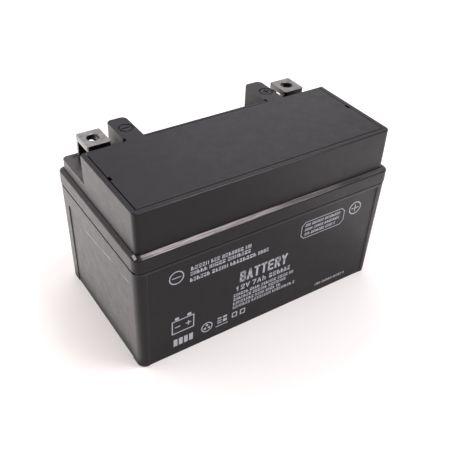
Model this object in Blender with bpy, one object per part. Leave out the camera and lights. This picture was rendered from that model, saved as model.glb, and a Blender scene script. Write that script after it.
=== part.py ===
"""A sealed 12 V motorcycle battery, six cells in a row, as the separate pieces it is made of.

The frame is metres, +Z up. X runs along the battery, the terminals stand at +Y, and the
origin is the middle of the underside. The negative terminal is at -X, the positive at +X.
"""
from math import cos, pi, radians, sin, tau

import bmesh
import bpy
from mathutils import Matrix

MM = 0.001

# Driving dimensions
LENGTH = 150 * MM
WIDTH = 87 * MM
HEIGHT = 94 * MM
GAP = 0.3 * MM  # between pieces that meet
CELLS = 6

# Container
SEAM_Z = 63.4 * MM  # underside of the lid's flange
CONTAINER_TOP = SEAM_Z - GAP
CONTAINER_INSET = 0.2 * MM  # of the outer walls at the seam
CONTAINER_DRAFT = 0.9 * MM  # more inset at the foot
WALL = 2.3 * MM
FLOOR = 2.5 * MM
PARTITION = 1.3 * MM
CORNER = 4.2 * MM
CAVITY_LENGTH = LENGTH - 2 * (CONTAINER_INSET + WALL)
CAVITY_WIDTH = WIDTH - 2 * (CONTAINER_INSET + WALL)
CELL_PITCH = (CAVITY_LENGTH + PARTITION) / CELLS
CELL_LENGTH = CELL_PITCH - PARTITION
PANEL_DEPTH = 0.5 * MM  # shallow recess in each outer wall, open at the foot
LONG_PANEL_HALF = 68.7 * MM
LONG_PANEL_TOP = SEAM_Z - 2.0 * MM
END_PANEL_HALF = 33.5 * MM
END_PANEL_TOP = SEAM_Z - 10.3 * MM

# Lid
FLANGE_TOP = 70.6 * MM
LEDGE_TOP = 71.7 * MM
LEDGE = 2.7 * MM
PLATEAU_HALF_X = LENGTH / 2 - LEDGE
PLATEAU_HALF_Y = WIDTH / 2 - LEDGE
PLATEAU_CORNER = 2.4 * MM
EDGE = 0.4 * MM  # small bevel on moulded edges
SHELF_Z = 77.6 * MM  # floor of the recess where the terminals stand
RECESS_Y = 14.0 * MM  # front wall of that recess
REAR_CORNER = 1.0 * MM  # radius of the raised part's two rear corners
RIM_Y = 15.5 * MM  # the same wall between the two tabs
LID_WALL = 2.3 * MM
DECK_TOP = 84.0 * MM  # floor of the valve gallery
DECK = 2.0 * MM
SHELF = 2.6 * MM

# Top plate and its two tabs
RIM = 2.85 * MM  # visible lid rim around the plate
PLATE = 1.8 * MM
LEFT_TAB = (-49.4 * MM, -38.6 * MM)
RIGHT_TAB = (34.4 * MM, 45.2 * MM)
TAB_END_Y = 36.5 * MM
TAB_CORNER = 3.0 * MM
TAB_WALL = 1.8 * MM
PRY_NOTCH_Y = -11.3 * MM
PRY_NOTCH = (1.2 * MM, 3.0 * MM)
ROOT_NOTCH = (1.1 * MM, 2.6 * MM, 7.0 * MM)

# Terminals: a lead bracket, its foot set in resin over the cell's post
TERMINAL_X = 59.4 * MM
TERMINAL_WIDTH = 12.2 * MM
TERMINAL_Y = (22.0 * MM, 37.2 * MM)
TERMINAL_TOP = 91.2 * MM
TERMINAL_THICK = 3.0 * MM
LEG_THICK = 2.8 * MM
BOLT_HOLE_R = 3.2 * MM  # clears an M6 bolt
BOLT_HOLE_Y = 29.6 * MM
LEG_HOLE_Z = 84.0 * MM
FOOT_Y = 23.6 * MM
FOOT = (72.0 * MM, 74.4 * MM)
POST_R = 3.0 * MM
POST_TOP = 74.0 * MM
POCKET_X = (51.7 * MM, 67.4 * MM)
POCKET_Y = (21.0 * MM, 39.0 * MM)
POCKET_FLOOR = 71.0 * MM
WELL_Y = 19.2 * MM
WELL_Z = 68.3 * MM
SEAL_SEAT = 69.4 * MM
SEAL_R = (3.25 * MM, 4.35 * MM)  # inner and outer radius of the post's ring seal

# Relief valves, one over each cell
VALVE_Y = -14.0 * MM
CHIMNEY_R = 3.0 * MM
CHIMNEY_BORE_R = 1.3 * MM
CHIMNEY_TOP = 88.6 * MM
CAP_R = 4.4 * MM
CAP_SKIRT = 4.3 * MM  # length of the skirt around the chimney
CAP_CROWN = 1.5 * MM

# Plates and separators of one cell
NEGATIVE_PLATES = 5
POSITIVE_PLATES = 4
NEGATIVE_THICK = 1.3 * MM
POSITIVE_THICK = 2.0 * MM
MAT_THICK = 0.4 * MM
MAT_GAP = 0.28 * MM
PLATE_HALF_Y = 38.8 * MM
PLATE_Z = (4.4 * MM, 50.4 * MM)
MAT_Z = (3.0 * MM, 52.2 * MM)
FOLD_Y = (39.6 * MM, 40.2 * MM)  # inner and outer face of the mat's folds
STRAP_Y = 28.5 * MM  # to the rear or to the front
STRAP_HALF = 6.0 * MM
STRAP_Z = (55.0 * MM, 59.0 * MM)
LUG_HALF = 4.5 * MM
EAR_TOP = 62.2 * MM
EAR_THICK = 2.2 * MM
EAR_HALF = 4.6 * MM
EAR_FACE = CELL_LENGTH / 2 - 0.35 * MM
WELD_Z = 58.6 * MM
WELD_HOLE_R = 2.6 * MM


# Mesh tools

def rounded_rectangle(half_x, half_y, radius, steps=4):
    """The outline of a rectangle about the origin with its corners turned to a radius."""
    points = []
    for corner, (side_x, side_y) in enumerate([(1, 1), (-1, 1), (-1, -1), (1, -1)]):
        for step in range(steps + 1):
            angle = (corner + step / steps) * pi / 2
            points.append((side_x * (half_x - radius) + radius * cos(angle),
                           side_y * (half_y - radius) + radius * sin(angle)))
    return points


def quarter_turn(x, y, radius, first_angle):
    """Points of a quarter circle about (x, y), counterclockwise from an angle."""
    angles = [first_angle + step / 5 * pi / 2 for step in range(6)]
    return [(x + radius * cos(angle), y + radius * sin(angle)) for angle in angles]


def rectangle(low_x, high_x, low_y, high_y):
    return [(low_x, low_y), (high_x, low_y), (high_x, high_y), (low_x, high_y)]


def add_loft(mesh, sections):
    """Add one closed body through sections, each an outline and its height."""
    rings = [[mesh.verts.new((x, y, z)) for x, y in outline] for outline, z in sections]
    faces = [mesh.faces.new(reversed(rings[0])), mesh.faces.new(rings[-1])]
    for lower, upper in zip(rings, rings[1:]):
        for i in range(len(lower)):
            j = (i + 1) % len(lower)
            faces.append(mesh.faces.new((lower[i], lower[j], upper[j], upper[i])))
    bmesh.ops.recalc_face_normals(mesh, faces=faces)
    return [vert for one in rings for vert in one]


def add_box(mesh, low, high):
    outline = rectangle(low[0], high[0], low[1], high[1])
    return add_loft(mesh, [(outline, low[2]), (outline, high[2])])


def add_turned(mesh, profile, steps=20, centre=(0, 0, 0), along_x=False):
    """Add a body turned about Z from (radius, height) points; radius 0 closes on the axis.

    A profile with no point on the axis is a closed ring.
    """
    spans = []
    for radius, z in profile:
        if radius == 0:
            spans.append([mesh.verts.new((0, 0, z))])
        else:
            angles = [tau * i / steps for i in range(steps)]
            spans.append([mesh.verts.new((radius * cos(a), radius * sin(a), z)) for a in angles])
    closed = profile[0][0] != 0
    pairs = list(zip(spans, spans[1:] + spans[:1])) if closed else list(zip(spans, spans[1:]))
    faces = []
    for lower, upper in pairs:
        for i in range(steps):
            j = (i + 1) % steps
            corners = [lower[i % len(lower)], lower[j % len(lower)],
                       upper[j % len(upper)], upper[i % len(upper)]]
            faces.append(mesh.faces.new(list(dict.fromkeys(corners))))
    bmesh.ops.recalc_face_normals(mesh, faces=faces)
    verts = [vert for one in spans for vert in one]
    if along_x:
        bmesh.ops.rotate(mesh, verts=verts, matrix=Matrix.Rotation(pi / 2, 3, "Y"))
    bmesh.ops.translate(mesh, verts=verts, vec=centre)
    return verts


def cylinder_profile(radius, low, high):
    return [(0, low), (radius, low), (radius, high), (0, high)]


def add_outline_along_x(mesh, outline, low_x, high_x):
    """Add a body whose (y, z) outline runs from low_x to high_x."""
    verts = add_loft(mesh, [(outline, low_x), (outline, high_x)])
    for vert in verts:
        vert.co = (vert.co.z, vert.co.x, vert.co.y)
    faces = list({face for vert in verts for face in vert.link_faces})
    bmesh.ops.recalc_face_normals(mesh, faces=faces)


# Objects and materials

def material(name, color, roughness, metallic=0.0):
    made = bpy.data.materials.new(name)
    made.use_nodes = True
    shader = made.node_tree.nodes["Principled BSDF"]
    shader.inputs["Base Color"].default_value = (*color, 1)
    shader.inputs["Roughness"].default_value = roughness
    shader.inputs["Metallic"].default_value = metallic
    return made


def make_object(name, mesh, finish, location=(0, 0, 0)):
    """Turn a bmesh into a named object, smooth across its shallow edges."""
    data = bpy.data.meshes.new(name)
    mesh.to_mesh(data)
    mesh.free()
    data.shade_smooth()
    data.set_sharp_from_angle(angle=radians(35))
    data.materials.append(finish)
    return place(name, data, location)


def place(name, data, location=(0, 0, 0)):
    made = bpy.data.objects.new(name, data)
    made.location = location
    made.parent = battery
    bpy.context.scene.collection.objects.link(made)
    return made


def cut(target, mesh, name):
    """Take a bmesh's bodies away from an object with a Boolean."""
    cutter = make_object(name, mesh, tool_finish)
    cutter.hide_render = True
    cutter.display_type = "WIRE"
    boolean = target.modifiers.new(name, "BOOLEAN")
    boolean.operation = "DIFFERENCE"
    boolean.solver = "EXACT"
    boolean.object = cutter


def cell_x(number):
    """The middle of a cell, numbered 1 to CELLS from the negative terminal."""
    return (number - (CELLS + 1) / 2) * CELL_PITCH


def partition_x(number):
    """The middle of the partition between a cell and the next."""
    return cell_x(number) + CELL_PITCH / 2


def strap_side(number):
    """+1 where a cell's negative strap is at the rear, -1 where it is at the front."""
    return 1 if number % 2 else -1


# Container

def make_container():
    half_x = LENGTH / 2 - CONTAINER_INSET
    half_y = WIDTH / 2 - CONTAINER_INSET
    foot_x = half_x - CONTAINER_DRAFT
    foot_y = half_y - CONTAINER_DRAFT
    foot_edge = 0.6 * MM
    body = bmesh.new()
    add_loft(body, [
        (rounded_rectangle(foot_x - foot_edge, foot_y - foot_edge, CORNER - foot_edge), 0),
        (rounded_rectangle(foot_x, foot_y, CORNER), foot_edge),
        (rounded_rectangle(half_x, half_y, CORNER), CONTAINER_TOP),
    ])
    container = make_object("container", body, case_finish)

    cells = bmesh.new()
    for number in range(1, CELLS + 1):
        middle = cell_x(number)
        add_box(cells, (middle - CELL_LENGTH / 2, -CAVITY_WIDTH / 2, FLOOR),
                (middle + CELL_LENGTH / 2, CAVITY_WIDTH / 2, SEAM_Z))
    cut(container, cells, "cut_cells")

    beyond = 3 * MM
    panels = bmesh.new()
    for side in (-1, 1):
        # The recess floor follows the wall's draft.
        for half, top, foot, seam, swap in [
                (LONG_PANEL_HALF, LONG_PANEL_TOP, foot_y, half_y, False),
                (END_PANEL_HALF, END_PANEL_TOP, foot_x, half_x, True)]:
            sections = []
            for z in (-beyond, top):
                wall = foot + (seam - foot) * z / CONTAINER_TOP
                near, far = sorted((side * (wall - PANEL_DEPTH), side * (wall + beyond)))
                if swap:
                    sections.append((rectangle(near, far, -half, half), z))
                else:
                    sections.append((rectangle(-half, half, near, far), z))
            add_loft(panels, sections)
    cut(container, panels, "cut_panels")

    holes = bmesh.new()
    for number in range(1, CELLS):
        add_turned(holes, cylinder_profile(WELD_HOLE_R, -PARTITION, PARTITION),
                   centre=(partition_x(number), -strap_side(number) * STRAP_Y, WELD_Z), along_x=True)
    cut(container, holes, "cut_weld_holes")


# Lid

def make_lid():
    lid_edge = 0.5 * MM
    body = bmesh.new()
    add_loft(body, [
        (rounded_rectangle(LENGTH / 2, WIDTH / 2, CORNER), SEAM_Z),
        (rounded_rectangle(LENGTH / 2, WIDTH / 2, CORNER), FLANGE_TOP - lid_edge),
        (rounded_rectangle(LENGTH / 2 - lid_edge, WIDTH / 2 - lid_edge, CORNER - lid_edge),
         FLANGE_TOP),
        (rounded_rectangle(PLATEAU_HALF_X, PLATEAU_HALF_Y, PLATEAU_CORNER), LEDGE_TOP),
        (rounded_rectangle(PLATEAU_HALF_X, PLATEAU_HALF_Y, PLATEAU_CORNER), HEIGHT - EDGE),
        (rounded_rectangle(PLATEAU_HALF_X - EDGE, PLATEAU_HALF_Y - EDGE, PLATEAU_CORNER - EDGE),
         HEIGHT),
    ])
    lid = make_object("lid", body, case_finish)

    beyond = 10 * MM
    recess = bmesh.new()
    far_x = LENGTH / 2 + beyond
    far_y = WIDTH / 2 + beyond
    left = LEFT_TAB[1] + GAP
    right = RIGHT_TAB[0] - GAP
    corner_x = PLATEAU_HALF_X - REAR_CORNER
    corner_y = RECESS_Y - REAR_CORNER
    outline = [(far_x, far_y), (-far_x, far_y), (-far_x, corner_y)]
    outline += reversed(quarter_turn(-corner_x, corner_y, REAR_CORNER, pi / 2))
    outline += [(left, RECESS_Y), (left, RIM_Y), (right, RIM_Y), (right, RECESS_Y)]
    outline += reversed(quarter_turn(corner_x, corner_y, REAR_CORNER, 0))
    outline.append((far_x, corner_y))
    add_loft(recess, [(outline, SHELF_Z), (outline, HEIGHT + beyond)])
    cut(lid, recess, "cut_terminal_recess")

    seat_x = LENGTH / 2 - LEDGE - RIM + GAP
    seat_y = -PLATEAU_HALF_Y + RIM - GAP
    seat = bmesh.new()
    add_box(seat, (-seat_x, seat_y, HEIGHT - PLATE - GAP),
            (seat_x, RECESS_Y + GAP, HEIGHT + beyond))
    cut(lid, seat, "cut_plate_seat")

    lip = 1.6 * MM  # the plate rests on this much of the lid all round
    gallery = bmesh.new()
    add_box(gallery, (-seat_x + lip, seat_y + lip, DECK_TOP),
            (seat_x - lip, RECESS_Y - LID_WALL, HEIGHT + beyond))
    cut(lid, gallery, "cut_gallery")

    inner_y = CAVITY_WIDTH / 2 - 2.5 * MM
    inner_x = PLATEAU_HALF_X - LID_WALL
    low = SEAM_Z - beyond
    shelf_under = SHELF_Z - SHELF
    rooms = bmesh.new()
    for number in range(1, CELLS + 1):
        front = [(-inner_y, low), (inner_y, low)]
        if number in (1, CELLS):
            rear = [(inner_y, WELL_Z), (WELL_Y, WELL_Z), (WELL_Y, shelf_under)]
        else:
            rear = [(inner_y, shelf_under)]
        roof = [(RECESS_Y - LID_WALL, shelf_under), (RECESS_Y - LID_WALL, DECK_TOP - DECK),
                (-inner_y, DECK_TOP - DECK)]
        middle = cell_x(number)
        add_outline_along_x(rooms, front + rear + roof,
                            max(middle - CELL_LENGTH / 2, -inner_x),
                            min(middle + CELL_LENGTH / 2, inner_x))
    cut(lid, rooms, "cut_head_space")

    pockets = bmesh.new()
    for side in (-1, 1):
        low_x, high_x = sorted((side * POCKET_X[0], side * POCKET_X[1]))
        add_box(pockets, (low_x, POCKET_Y[0], POCKET_FLOOR), (high_x, POCKET_Y[1], HEIGHT))
    cut(lid, pockets, "cut_resin_pockets")

    bores = bmesh.new()
    for side in (-1, 1):
        bore = POST_R + GAP
        seat_r = SEAL_R[1] + GAP
        add_turned(bores, [(0, WELL_Z - MM), (bore, WELL_Z - MM), (bore, SEAL_SEAT),
                           (seat_r, SEAL_SEAT), (seat_r, POCKET_FLOOR + MM),
                           (0, POCKET_FLOOR + MM)], centre=(side * TERMINAL_X, STRAP_Y, 0))
    cut(lid, bores, "cut_post_bores")

    chimneys = bmesh.new()
    for number in range(1, CELLS + 1):
        add_turned(chimneys, cylinder_profile(CHIMNEY_R, DECK_TOP - DECK / 2, CHIMNEY_TOP),
                   steps=16, centre=(cell_x(number), VALVE_Y, 0))
    join(lid, chimneys, "add_chimneys")

    vents = bmesh.new()
    for number in range(1, CELLS + 1):
        add_turned(vents, cylinder_profile(CHIMNEY_BORE_R, DECK_TOP - 2 * DECK, HEIGHT), steps=12,
                   centre=(cell_x(number), VALVE_Y, 0))
    cut(lid, vents, "cut_chimney_bores")


def join(target, mesh, name):
    """Add a bmesh's bodies to an object with a Boolean."""
    cut(target, mesh, name)
    target.modifiers[name].operation = "UNION"


# Top plate with its two tabs

def tab_outline(low_x, high_x):
    """The rear end of a tab, from its right root to its left root."""
    middle_y = TAB_END_Y - TAB_CORNER
    return ([(high_x, RECESS_Y)]
            + quarter_turn(high_x - TAB_CORNER, middle_y, TAB_CORNER, 0)
            + quarter_turn(low_x + TAB_CORNER, middle_y, TAB_CORNER, pi / 2)
            + [(low_x, RECESS_Y)])


def make_top_plate():
    half_x = PLATEAU_HALF_X - RIM
    front_y = -PLATEAU_HALF_Y + RIM
    underside = HEIGHT - PLATE
    outline = ([(-half_x, front_y), (half_x, front_y), (half_x, RECESS_Y)]
               + tab_outline(*RIGHT_TAB) + tab_outline(*LEFT_TAB) + [(-half_x, RECESS_Y)])
    body = bmesh.new()
    add_loft(body, [(outline, SHELF_Z + GAP), (outline, HEIGHT)])
    plate = make_object("top_plate", body, case_finish)

    below = bmesh.new()
    add_box(below, (-LENGTH, -WIDTH, 0), (LENGTH, RECESS_Y + GAP, underside))
    cut(plate, below, "cut_below_plate")

    hollows = bmesh.new()
    for low_x, high_x in (LEFT_TAB, RIGHT_TAB):
        add_box(hollows, (low_x + TAB_WALL, RECESS_Y + TAB_WALL + GAP, 0),
                (high_x - TAB_WALL, TAB_END_Y - TAB_WALL, underside))
    cut(plate, hollows, "cut_tab_hollows")

    notches = bmesh.new()
    for side in (-1, 1):
        low_x, high_x = sorted((side * (half_x - PRY_NOTCH[0]), side * (half_x + MM)))
        add_box(notches, (low_x, PRY_NOTCH_Y - PRY_NOTCH[1] / 2, underside - MM),
                (high_x, PRY_NOTCH_Y + PRY_NOTCH[1] / 2, HEIGHT + MM))
    for low_x, high_x in (LEFT_TAB, RIGHT_TAB):
        add_box(notches, (low_x - MM, RECESS_Y + GAP, HEIGHT - ROOT_NOTCH[2]),
                (low_x + ROOT_NOTCH[0], RECESS_Y + GAP + ROOT_NOTCH[1], HEIGHT + MM))
    cut(plate, notches, "cut_notches")


# Terminals, posts, seals and resin

def terminal_side_outline(clear=0):
    """The bracket seen from the side, (y, z): foot, leg and bolt plate, grown by clear."""
    front, rear = TERMINAL_Y
    return [(FOOT_Y - clear, FOOT[0] - clear), (rear + clear, FOOT[0] - clear),
            (rear + clear, TERMINAL_TOP + clear), (front - clear, TERMINAL_TOP + clear),
            (front - clear, TERMINAL_TOP - TERMINAL_THICK - clear),
            (rear - LEG_THICK - clear, TERMINAL_TOP - TERMINAL_THICK - clear),
            (rear - LEG_THICK - clear, FOOT[1] + clear), (FOOT_Y - clear, FOOT[1] + clear)]


def make_terminal(name, side):
    middle = side * TERMINAL_X
    half = TERMINAL_WIDTH / 2
    body = bmesh.new()
    add_outline_along_x(body, terminal_side_outline(), middle - half, middle + half)
    terminal = make_object(name, body, lead_finish)

    holes = bmesh.new()
    add_turned(holes, cylinder_profile(BOLT_HOLE_R, TERMINAL_TOP - 2 * TERMINAL_THICK, HEIGHT),
               steps=24, centre=(middle, BOLT_HOLE_Y, 0))
    leg_hole = add_turned(holes, cylinder_profile(BOLT_HOLE_R, -2 * LEG_THICK, 2 * LEG_THICK),
                          steps=24)
    bmesh.ops.rotate(holes, verts=leg_hole, matrix=Matrix.Rotation(pi / 2, 3, "X"))
    bmesh.ops.translate(holes, verts=leg_hole, vec=(middle, TERMINAL_Y[1], LEG_HOLE_Z))
    add_turned(holes, cylinder_profile(POST_R + GAP, FOOT[0] - MM, FOOT[1] + MM),
               centre=(middle, STRAP_Y, 0))
    cut(terminal, holes, "cut_" + name)


def make_post(name, side):
    """The lead post between the end cell's strap and the terminal's foot."""
    tip = 0.8 * MM
    base = STRAP_Z[1] + GAP
    body = bmesh.new()
    add_turned(body, [(0, base), (POST_R, base), (POST_R, POST_TOP - tip), (POST_R - tip, POST_TOP),
                      (0, POST_TOP)])
    make_object(name, body, lead_finish, (side * TERMINAL_X, STRAP_Y, 0))


def make_post_seal(name, side):
    section = (SEAL_R[1] - SEAL_R[0]) / 2
    middle_r = (SEAL_R[1] + SEAL_R[0]) / 2
    height = (SEAL_SEAT + POCKET_FLOOR) / 2
    ring = [(middle_r + section * cos(tau * i / 8), height + section * sin(tau * i / 8))
            for i in range(8)]
    body = bmesh.new()
    add_turned(body, ring)
    make_object(name, body, rubber_finish, (side * TERMINAL_X, STRAP_Y, 0))


def make_resin(name, side, finish):
    """The resin poured into the pocket around the terminal's foot."""
    low_x, high_x = sorted((side * POCKET_X[0], side * POCKET_X[1]))
    body = bmesh.new()
    add_box(body, (low_x + GAP, POCKET_Y[0] + GAP, POCKET_FLOOR + GAP),
            (high_x - GAP, POCKET_Y[1] - GAP, SHELF_Z - GAP))
    resin = make_object(name, body, finish)

    room = bmesh.new()
    reach = TERMINAL_WIDTH / 2 + GAP
    add_outline_along_x(room, terminal_side_outline(GAP), side * TERMINAL_X - reach,
                        side * TERMINAL_X + reach)
    cut(resin, room, "cut_foot_" + name)
    bore = bmesh.new()
    add_turned(bore, cylinder_profile(POST_R + GAP, POCKET_FLOOR - MM, FOOT[1]),
               centre=(side * TERMINAL_X, STRAP_Y, 0))
    cut(resin, bore, "cut_bore_" + name)


# Relief valves

def make_valve_caps():
    inner = CHIMNEY_R + GAP
    seat = CHIMNEY_TOP + GAP
    bottom = seat - CAP_SKIRT
    top = seat + CAP_CROWN
    edge = 0.7 * MM
    body = bmesh.new()
    add_turned(body, [(0, seat), (inner, seat), (inner, bottom), (CAP_R, bottom),
                      (CAP_R, top - edge), (CAP_R - edge, top), (0, top)], steps=16)
    first = make_object("valve_cap_1", body, rubber_finish, (cell_x(1), VALVE_Y, 0))
    for number in range(2, CELLS + 1):
        place(f"valve_cap_{number}", first.data, (cell_x(number), VALVE_Y, 0))


# Cell contents

def plate_stack():
    """X of each plate's two faces and of each mat's two faces, about the cell's middle."""
    plates = {"negative": [], "positive": []}
    mats = []
    total = (NEGATIVE_PLATES * NEGATIVE_THICK + POSITIVE_PLATES * POSITIVE_THICK
             + 2 * POSITIVE_PLATES * (MAT_THICK + 2 * MAT_GAP))
    x = -total / 2
    for index in range(NEGATIVE_PLATES + POSITIVE_PLATES):
        kind = "positive" if index % 2 else "negative"
        thick = POSITIVE_THICK if index % 2 else NEGATIVE_THICK
        plates[kind].append((x, x + thick))
        x += thick + MAT_GAP
        if index < NEGATIVE_PLATES + POSITIVE_PLATES - 1:
            mats.append((x, x + MAT_THICK))
            x += MAT_THICK + MAT_GAP
    return plates, mats


def make_plate_group(name, faces, side, ear, finish, location):
    """One polarity of one cell: its plates, their lugs and the strap they hang from.

    side is +1 with the strap at the rear, -1 at the front. ear is -1 or +1 where the strap
    turns up beside the partition to be welded to the next cell, or 0.
    """
    middle = side * STRAP_Y
    body = bmesh.new()
    low_x = faces[0][0]
    high_x = faces[-1][1]
    if ear < 0:
        low_x = -EAR_FACE
    if ear > 0:
        high_x = EAR_FACE
    add_box(body, (low_x, middle - STRAP_HALF, STRAP_Z[0]), (high_x, middle + STRAP_HALF, STRAP_Z[1]))
    group = make_object(name, body, finish, location)

    hanging = bmesh.new()
    overlap = 1.5 * MM  # how far each lug runs up into the strap
    for x0, x1 in faces:
        outline = [(-PLATE_HALF_Y, PLATE_Z[0]), (PLATE_HALF_Y, PLATE_Z[0]),
                   (PLATE_HALF_Y, PLATE_Z[1]), (middle + LUG_HALF, PLATE_Z[1]),
                   (middle + LUG_HALF, STRAP_Z[0] + overlap), (middle - LUG_HALF, STRAP_Z[0] + overlap),
                   (middle - LUG_HALF, PLATE_Z[1]), (-PLATE_HALF_Y, PLATE_Z[1])]
        add_outline_along_x(hanging, outline, x0, x1)
    join(group, hanging, "plates_" + name)
    if ear:
        upright = bmesh.new()
        near, far = sorted((ear * (EAR_FACE - EAR_THICK), ear * EAR_FACE))
        add_box(upright, (near, middle - EAR_HALF, STRAP_Z[0] + overlap), (far, middle + EAR_HALF, EAR_TOP))
        join(group, upright, "ear_" + name)
    for modifier in group.modifiers:
        modifier.object.location = location


def make_separator(mats):
    """One glass mat folded back and forth between the plates of a cell."""
    inner, outer = FOLD_Y
    path = []
    back = []
    for index, (x0, x1) in enumerate(mats):
        first = index == 0
        last = index == len(mats) - 1
        if index % 2 == 0:  # runs from a fold at the front to one at the rear
            path += [(x0, -PLATE_HALF_Y if first else -inner), (x0, outer)]
            back += [(x1, -PLATE_HALF_Y if first else -outer), (x1, inner)]
        else:
            path += [(x1, outer), (x1, -PLATE_HALF_Y if last else -inner)]
            back += [(x0, inner), (x0, -PLATE_HALF_Y if last else -outer)]
    outline = path + back[::-1]
    body = bmesh.new()
    add_loft(body, [(outline, MAT_Z[0]), (outline, MAT_Z[1])])
    return body


def make_cells():
    plates, mats = plate_stack()
    mat_data = None
    for number in range(1, CELLS + 1):
        side = strap_side(number)
        location = (cell_x(number), 0, 0)
        negative_ear = -1 if number > 1 else 0
        positive_ear = 1 if number < CELLS else 0
        make_plate_group(f"cell_{number}_negative_group", plates["negative"], side,
                         negative_ear, negative_finish, location)
        make_plate_group(f"cell_{number}_positive_group", plates["positive"], -side,
                         positive_ear, positive_finish, location)
        name = f"cell_{number}_separator"
        if mat_data is None:
            mat_data = make_object(name, make_separator(mats), mat_finish, location).data
        else:
            place(name, mat_data, location)


def make_intercell_welds():
    """The lead plug that joins two ears through the hole in a partition."""
    half = CELL_PITCH / 2 - EAR_FACE - GAP
    body = bmesh.new()
    add_turned(body, cylinder_profile(WELD_HOLE_R - GAP, -half, half), along_x=True)
    data = None
    for number in range(1, CELLS):
        name = f"intercell_weld_{number}"
        location = (partition_x(number), -strap_side(number) * STRAP_Y, WELD_Z)
        if data is None:
            data = make_object(name, body, lead_finish, location).data
        else:
            place(name, data, location)


for old in list(bpy.data.objects):
    bpy.data.objects.remove(old, do_unlink=True)

case_finish = material("case_plastic", (0.105, 0.10, 0.105), 0.5)
lead_finish = material("terminal_lead", (0.50, 0.48, 0.45), 0.45, 1.0)
rubber_finish = material("valve_rubber", (0.02, 0.02, 0.02), 0.8)
red_resin = material("red_resin", (0.35, 0.03, 0.02), 0.3)
black_resin = material("black_resin", (0.03, 0.03, 0.03), 0.3)
negative_finish = material("negative_plate", (0.33, 0.34, 0.36), 0.7, 0.3)
positive_finish = material("positive_plate", (0.12, 0.06, 0.04), 0.8)
mat_finish = material("glass_mat", (0.82, 0.82, 0.80), 0.9)
tool_finish = material("cutter", (1, 0, 1), 1.0)

battery = bpy.data.objects.new("battery", None)
bpy.context.scene.collection.objects.link(battery)

make_container()
make_lid()
make_top_plate()
make_terminal("negative_terminal", -1)
make_terminal("positive_terminal", 1)
make_post("negative_post", -1)
make_post("positive_post", 1)
make_post_seal("negative_post_seal", -1)
make_post_seal("positive_post_seal", 1)
make_resin("negative_resin", -1, black_resin)
make_resin("positive_resin", 1, red_resin)
make_valve_caps()
make_cells()
make_intercell_welds()
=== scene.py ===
"""Looks of the sealed motorcycle battery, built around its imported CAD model."""

import random
from math import cos, pi, radians, sin, tau

import bmesh
import bpy
from mathutils import Matrix, Vector


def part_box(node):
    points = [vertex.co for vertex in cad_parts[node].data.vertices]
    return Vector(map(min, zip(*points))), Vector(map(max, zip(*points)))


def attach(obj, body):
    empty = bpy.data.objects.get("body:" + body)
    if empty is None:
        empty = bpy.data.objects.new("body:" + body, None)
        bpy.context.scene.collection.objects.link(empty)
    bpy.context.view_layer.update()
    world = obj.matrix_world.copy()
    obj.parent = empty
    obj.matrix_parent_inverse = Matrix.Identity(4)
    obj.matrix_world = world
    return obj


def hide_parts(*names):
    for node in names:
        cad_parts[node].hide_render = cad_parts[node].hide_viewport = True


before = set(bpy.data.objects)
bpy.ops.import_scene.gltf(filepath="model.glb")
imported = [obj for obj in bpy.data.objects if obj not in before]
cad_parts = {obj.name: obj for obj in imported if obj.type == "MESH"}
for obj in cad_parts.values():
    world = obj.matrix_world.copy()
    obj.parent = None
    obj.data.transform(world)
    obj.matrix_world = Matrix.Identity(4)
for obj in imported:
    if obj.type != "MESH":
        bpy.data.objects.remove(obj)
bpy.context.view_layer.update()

MM = 0.001
CASE = "battery_case"  # the body that every fixed piece rides on

# Places read from the frame
_, CONTAINER_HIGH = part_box("container")
LID_LOW, LID_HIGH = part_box("lid")
PLATE_LOW, PLATE_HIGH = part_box("top_plate")
TERMINAL_BOX = {-1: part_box("negative_terminal"), 1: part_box("positive_terminal")}

# Shape of the case, as in the CAD
HALF_X = LID_HIGH.x
HALF_Y = LID_HIGH.y
TOP = LID_HIGH.z
SEAM_Z = LID_LOW.z
GAP = SEAM_Z - CONTAINER_HIGH.z
CORNER = 4.2 * MM
WALL = 2.3 * MM
FLOOR = 2.5 * MM
PARTITION = 1.3 * MM
CELLS = 6
DRAFT = 0.9 * MM
PANEL_DEPTH = 0.5 * MM
LEDGE = 2.7 * MM
PLATEAU_X = HALF_X - LEDGE
PLATEAU_Y = HALF_Y - LEDGE
PLATEAU_CORNER = 2.8 * MM
LEFT_SWELL = 0.8 * MM  # how far the raised part's left wall stands further out at its top
LEFT_FOOT_SHARE = 0.45  # and what share of that at its foot
TERMINAL_PLATE = 3.0 * MM  # thickness of a terminal's bolt plate
SHELF_Z = PLATE_LOW.z - GAP
RECESS_Y = 14.0 * MM
RIM_Y = 15.5 * MM
PLATE = 1.8 * MM
LEFT_TAB = (-49.4 * MM, -38.6 * MM)
RIGHT_TAB = (34.4 * MM, 45.2 * MM)
TAB_END_Y = PLATE_HIGH.y
BEYOND = 10 * MM  # how far a cutter runs past what it cuts


# Mesh tools

def rounded_rectangle(half_x, half_y, radius, steps=10):
    """The outline of a rectangle about the origin with its corners turned to a radius."""
    points = []
    for corner, (side_x, side_y) in enumerate([(1, 1), (-1, 1), (-1, -1), (1, -1)]):
        for step in range(steps + 1):
            angle = (corner + step / steps) * pi / 2
            points.append((side_x * (half_x - radius) + radius * cos(angle),
                           side_y * (half_y - radius) + radius * sin(angle)))
    return points


def rectangle(low_x, high_x, low_y, high_y):
    return [(low_x, low_y), (high_x, low_y), (high_x, high_y), (low_x, high_y)]


def arc(centre, radius, start, end, steps):
    """Points on an arc, angles in degrees."""
    points = []
    for step in range(steps + 1):
        angle = radians(start + (end - start) * step / steps)
        points.append((centre[0] + radius * cos(angle), centre[1] + radius * sin(angle)))
    return points


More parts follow.
